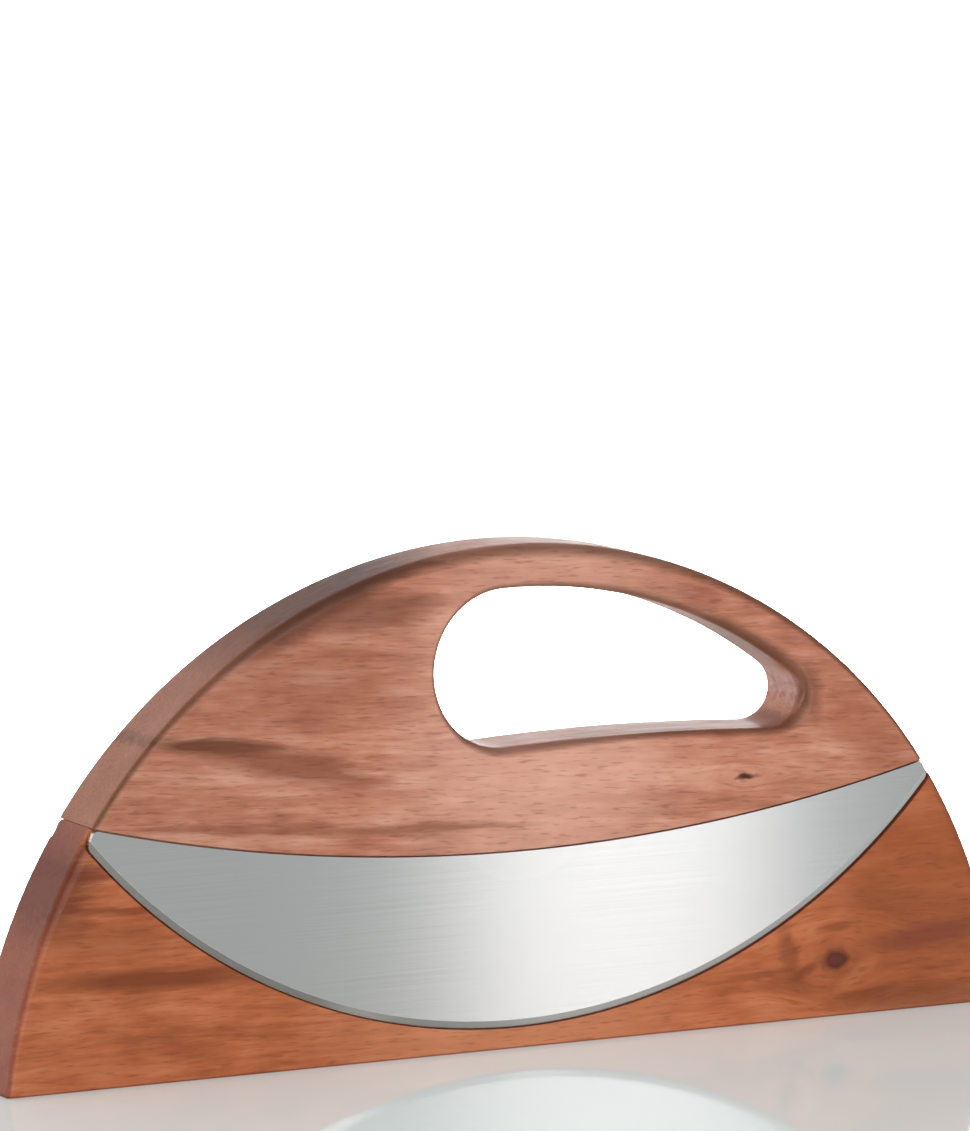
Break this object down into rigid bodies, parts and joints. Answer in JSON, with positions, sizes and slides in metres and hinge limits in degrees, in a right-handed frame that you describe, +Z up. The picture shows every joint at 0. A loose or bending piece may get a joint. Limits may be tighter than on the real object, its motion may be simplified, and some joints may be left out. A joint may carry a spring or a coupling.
{
  "type": "double mezzaluna with stand",
  "caption": "Half-moon rocking knife with twin crescent steel blades under a wooden handle with a teardrop grip opening, nested in a matching half-disc wooden stand.",
  "frame": {"origin": "on the table under the middle of the stand", "axes": "+X along the blades towards the grip opening's narrow end, +Y across the thickness towards the rear, +Z up"},
  "size_m": [0.2506, 0.018, 0.113],
  "materials": {
    "handle_wood": "oiled, sanded smooth",
    "stand_wood": "oiled, sanded smooth",
    "blade_steel": "satin brushed along the blade",
    "stud_steel": "turned"
  },
  "bodies": {
    "stand": {"stand_block": "stand_wood"},
    "knife": {"handle": "handle_wood", "front_blade": "blade_steel", "rear_blade": "blade_steel", "front_blade_stud_1": "stud_steel", "front_blade_stud_2": "stud_steel", "front_blade_stud_3": "stud_steel", "front_blade_stud_4": "stud_steel", "rear_blade_stud_1": "stud_steel", "rear_blade_stud_2": "stud_steel", "rear_blade_stud_3": "stud_steel", "rear_blade_stud_4": "stud_steel"}
  },
  "joints": [
    {"name": "knife_lift", "type": "slide", "parent": "stand", "child": "knife", "axis": [0, 0, 1], "range_m": [0, 0.06]}
  ]
}
